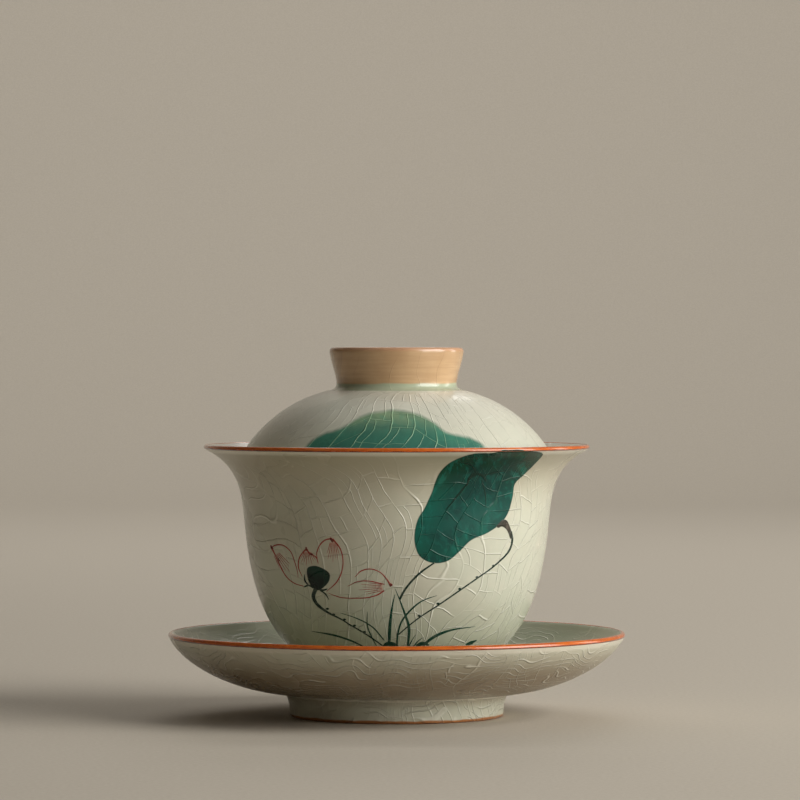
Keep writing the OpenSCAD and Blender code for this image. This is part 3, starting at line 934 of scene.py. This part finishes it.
def give(piece, material, body, node=None):
    """Hands a piece its material and its body, and hides the CAD node that it stands for."""
    piece.data.materials.append(material)
    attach(piece, body)
    if node:
        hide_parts(node)
    return piece


def low_of(node):
    """Height of a CAD node's lowest point."""
    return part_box(node)[0].z / MM


def turned_pieces():
    """The nine turned pieces. Returns the outlines that the painting needs."""
    bowl = celadon("bowl_celadon", "bowl")
    dish = celadon("saucer_celadon", "saucer")
    lid = celadon("lid_celadon", "lid")
    dish_foot = foot_glaze("saucer_foot_celadon", "saucer", 0.0)
    dish_rim = iron_glaze("saucer_rim_iron", low_of("saucer_rim_band"))
    bowl_foot = foot_glaze("bowl_foot_celadon", "bowl", low_of("bowl_foot_ring"))
    bowl_rim = iron_glaze("bowl_rim_iron", low_of("bowl_rim_band"))
    knob = tan_glaze("knob_tan", low_of("lid_knob"))
    lid_rim = iron_glaze("lid_rim_iron", low_of("lid_rim_band"))
    # name, CAD node, body, slot, glaze, and whether the outline's outer side is the lower one
    plan = [
        ("saucer", "saucer_dish", "saucer", "celadon_glaze", dish, True),
        ("saucer_foot", "saucer_foot_ring", "saucer", "foot_glaze", dish_foot, True),
        ("saucer_rim", "saucer_rim_band", "saucer", "iron_rim", dish_rim, True),
        ("bowl", "bowl_wall", "bowl", "celadon_glaze", bowl, True),
        ("bowl_foot", "bowl_foot_ring", "bowl", "foot_glaze", bowl_foot, True),
        ("bowl_rim", "bowl_rim_band", "bowl", "iron_rim", bowl_rim, True),
        ("lid", "lid_dome", "lid", "celadon_glaze", lid, False),
        ("knob", "lid_knob", "lid", "tan_glaze", knob, True),
        ("lid_rim", "lid_rim_band", "lid", "iron_rim", lid_rim, True),
    ]
    outlines = {}
    for name, node, body, slot, glaze, outside_low in plan:
        outline, closed = outline_of(node, outside_low)
        outlines[node] = outline
        give(turned(name, outline, closed), glaze, body, node)
    return outlines


def outer_face(outline):
    """The stretch of a wall's outline from the axis out to its widest point."""
    return outline[1:int(np.argmax(outline[:, 0])) + 1]


def over_the_rim(wall, band):
    """A wall's outer face carried on over its glazed rim, up to the top of the lip."""
    lowest = int(np.argmin(band[:, 1]))
    ring = np.roll(band, -lowest, axis=0)
    paths = [p[:int(np.argmax(p[:, 1])) + 1] for p in (ring, np.vstack([ring[:1], ring[:0:-1]]))]
    lip = max(paths, key=lambda p: p[:, 0].max())
    face = outer_face(wall)
    below = face[face[:, 1] < lip[0, 1] - 0.05]
    return np.vstack([below, lip[lip[:, 1] > lip[0, 1] + 0.05]])


def bowl_painting(outlines):
    """The lotus leaf, the flower and the grass."""
    skin = skin_of(over_the_rim(outlines["bowl_wall"], outlines["bowl_rim_band"]))
    green = leaf_paint("leaf_green", "bowl", LEAF_WASH, soft=0.16, cracks=0.26, mottle=0.55)
    pod = leaf_paint("pod_dark", "bowl", POD_WASH, soft=0.14, cracks=0.12)
    brown = leaf_paint("calyx_brown", "bowl", CALYX_WASH, soft=0.12, cracks=0.08)
    dark = line_paint("stem_ink", "bowl", STEM_INK)
    blade = line_paint("grass_ink", "bowl", GRASS_INK)
    red = line_paint("petal_ink", "bowl", PETAL_INK)
    deep_red = line_paint("petal_tip_ink", "bowl", PETAL_TIP_INK)
    heart = line_paint("heart_green", "bowl", HEART_INK, LEAF_UNDER_HEART)
    plan = [
        (crisp_area("bowl_leaf", skin, BOWL_LEAF), green, "leaf_pigment"),
        (strokes("leaf_heart", skin, LEAF_HEART, lift=0.055), heart, "leaf_pigment"),
        (crisp_area("seed_pod", skin, SEED_POD, spacing=0.25), pod, "ink_pigment"),
        (strokes("leaf_stems", skin, STEMS), dark, "ink_pigment"),
        (crisp_area("leaf_calyx", skin, CALYX, spacing=0.25, lift=0.06), brown, "ink_pigment"),
        (strokes("grass", skin, GRASS + TUFTS), blade, "leaf_pigment"),
        (strokes("flower_stem", skin, FLOWER_STEM), dark, "ink_pigment"),
        (strokes("stem_thorns", skin, thorn_marks(), lift=0.05, fade=0.2), dark, "ink_pigment"),
        (strokes("petals", skin, PETALS, fade=0.5), red, "line_pigment"),
        (strokes("petal_rays", skin, petal_rays(), lift=0.025, fade=1.0), red, "line_pigment"),
        (strokes("petal_tips", skin, PETAL_TIPS, lift=0.05, fade=0.15), deep_red, "line_pigment"),
    ]
    for piece, paint, slot in plan:
        give(piece, paint, "bowl")


def lid_painting(outlines):
    """The leaf on the lid. It goes down to just above the iron coat."""
    skin = skin_of(outer_face(outlines["lid_dome"])[1:])
    green = leaf_paint("lid_leaf_green", "lid", LID_LEAF_WASH, soft=0.8, cracks=0.4, mottle=0.3,
                       strength=0.95)
    lowest = float(outlines["lid_rim_band"][:, 1].max()) + 0.1
    give(soft_area("lid_leaf", skin, LID_LEAF, lowest), green, "lid")


# ---- Floor, light and camera, in metres ----

PAPER = (0.6, 0.54, 0.45)
PAPER_GRAIN = (0.64, 0.58, 0.49)
SKY = (1.0, 0.9, 0.76, 1)
SKY_STRENGTH = 0.035
AIM = 0.05  # the height that the lamps look at
# Azimuth (0 is the camera's side, 90 is +X), elevation, distance, width, height, power, colour
LAMPS = {
    "key": (66, 20, 1.2, 1.0, 1.0, 18.5, (1.0, 0.985, 0.95)),
    "edge": (114, 12, 1.2, 0.25, 0.7, 1.6, (1.0, 0.98, 0.95)),
    "fill": (-50, 20, 1.6, 0.9, 0.9, 0.4, (1.0, 0.78, 0.52)),
    "window": (177, 35, 1.3, 0.42, 0.36, 0.9, (1.0, 0.98, 0.96)),
}


def studio_sweep():
    """A plain pale floor that curves up into a plain backdrop, a hair below the saucer."""
    front, flat_end, bend, top, half, gap = -4.0, 1.6, 0.9, 2.4, 4.5, 0.05 * MM
    bends = 16
    profile = [(front, 0.0), (flat_end, 0.0)]
    for i in range(1, bends + 1):
        angle = math.pi / 2 * i / bends
        profile.append((flat_end + bend * math.sin(angle), bend * (1 - math.cos(angle))))
    profile.append((flat_end + bend, top))
    points = [(x / MM, y / MM, (z - gap) / MM) for y, z in profile for x in (-half, half)]
    faces = [(2 * i, 2 * i + 1, 2 * i + 3, 2 * i + 2) for i in range(len(profile) - 1)]
    floor = new_object("studio_floor", points, faces)
    material, tree = new_material("studio_paper")
    place = output("Object", "TexCoord", {}, tree=tree)
    grain = output("Fac", "TexNoise", {"Vector": place, "Scale": 900.0, "Detail": 2.0})
    colour = toward(PAPER, PAPER_GRAIN, grain, 0.3, 0.7)
    sockets = {"Base Color": colour, "Roughness": 0.75, "Specular IOR Level": 0.25}
    floor.data.materials.append(finished(material, sockets))


def soft_box(name, width, height, power, place, turn, colour=(1, 1, 1)):
    """A rectangular lamp."""
    data = bpy.data.lights.new(name, "AREA")
    data.shape, data.size, data.size_y = "RECTANGLE", width, height
    data.energy, data.color = power, colour
    light = bpy.data.objects.new(name, data)
    light.location = place
    light.rotation_euler = turn
    bpy.context.scene.collection.objects.link(light)
    return light


def studio_light():
    """The lamps that look at the object, a faint warm sky, and a lamp for the backdrop."""
    for name, (azimuth, elevation, distance, width, height, power, colour) in LAMPS.items():
        a, e = math.radians(azimuth), math.radians(elevation)
        flat = distance * math.cos(e)
        place = (flat * math.sin(a), -flat * math.cos(a), AIM + distance * math.sin(e))
        soft_box(name, width, height, power, place, (math.pi / 2 - e, 0, a), colour)
    world = bpy.data.worlds.new("studio")
    world.use_nodes = True
    sky = world.node_tree.nodes["Background"].inputs
    sky["Color"].default_value = SKY
    sky["Strength"].default_value = SKY_STRENGTH
    bpy.context.scene.world = world
    bpy.context.scene.view_settings.view_transform = "Standard"
    over_sweep = soft_box("backdrop", width=2.4, height=0.5, power=21, place=(0, 1.1, 1.9),
                          turn=(math.radians(38), 0, 0))
    over_sweep.visible_glossy = False


def photo_camera():
    """A long lens a little above the rim, looking down by half a degree."""
    eye_distance, eye_height = 1.1, 0.0901
    tilt, turn = math.radians(0.516), math.radians(-0.045)
    data = bpy.data.cameras.new("camera")
    data.sensor_width, data.lens = 36.0, 194.9
    camera = bpy.data.objects.new("camera", data)
    camera.location = (0, -eye_distance, eye_height)
    camera.rotation_euler = (math.pi / 2 - tilt, 0, turn)
    bpy.context.scene.collection.objects.link(camera)
    bpy.context.scene.camera = camera


photo_camera()
studio_sweep()
studio_light()
turned_outlines = turned_pieces()
bowl_painting(turned_outlines)
lid_painting(turned_outlines)
